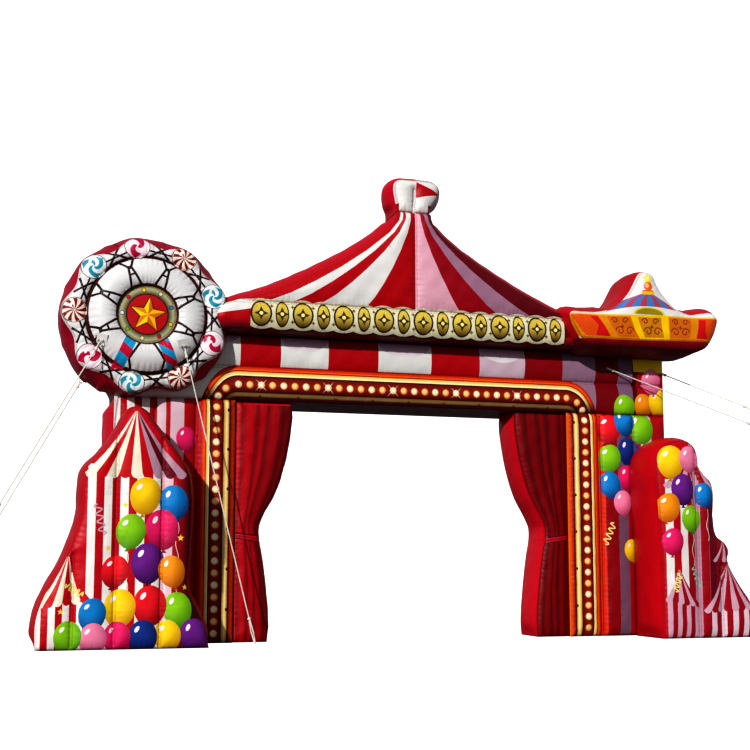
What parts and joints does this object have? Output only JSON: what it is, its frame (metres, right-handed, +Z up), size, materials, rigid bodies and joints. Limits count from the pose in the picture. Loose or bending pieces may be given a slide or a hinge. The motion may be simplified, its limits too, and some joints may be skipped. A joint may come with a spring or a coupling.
{
  "type": "inflatable arch",
  "caption": "Inflatable fairground entrance arch: two cloth towers and a two-tube header carry a tent roof, a big-wheel disc and a canopy, with guy ropes.",
  "frame": {"origin": "on the floor, in the middle of the arch's width and depth without its ropes", "axes": "+X to the right along the face, -Y the front with the prints, +Z up"},
  "size_m": [8.3728, 2.0275, 5.04],
  "materials": {
    "tower_cloth": "printed PVC-coated polyester, red and off-white stripes, satin",
    "header_cloth": "printed PVC-coated polyester, striped valance and lamp surround, satin",
    "roof_cloth": "printed PVC-coated polyester, red and white tent stripes, satin",
    "wheel_cloth": "printed PVC-coated polyester, white disc with dark spokes, satin",
    "canopy_cloth": "printed PVC-coated polyester, orange ribbed panels, satin",
    "wing_cloth": "printed PVC-coated polyester, striped tents and balloons, satin",
    "curtain_cloth": "PVC-coated polyester printed with deep red gathers, satin",
    "webbing": "sewn grey reinforcement patch with a webbing keeper, matt",
    "ring_steel": "zinc-plated wire ring",
    "rope": "braided polyester guy rope, matt"
  },
  "bodies": {
    "root": {"tower_left": "tower_cloth", "tower_right": "tower_cloth", "header": "header_cloth", "roof": "roof_cloth", "top_block": "roof_cloth", "wheel": "wheel_cloth", "canopy": "canopy_cloth", "wing_left": "wing_cloth", "wing_right": "wing_cloth", "curtain_left": "curtain_cloth", "curtain_right": "curtain_cloth", "patch_a": "webbing", "ring_a": "ring_steel", "eye_a": "rope", "rope_a": "rope", "end_a": "rope", "patch_b": "webbing", "ring_b": "ring_steel", "eye_b": "rope", "rope_b": "rope", "end_b": "rope", "patch_c": "webbing", "ring_c": "ring_steel", "eye_c": "rope", "rope_c": "rope", "end_c": "rope", "patch_d": "webbing", "ring_d": "ring_steel", "eye_d": "rope", "rope_d": "rope", "end_d": "rope", "patch_e": "webbing", "ring_e": "ring_steel", "eye_e": "rope", "rope_e": "rope", "end_e": "rope"}
  },
  "joints": []
}
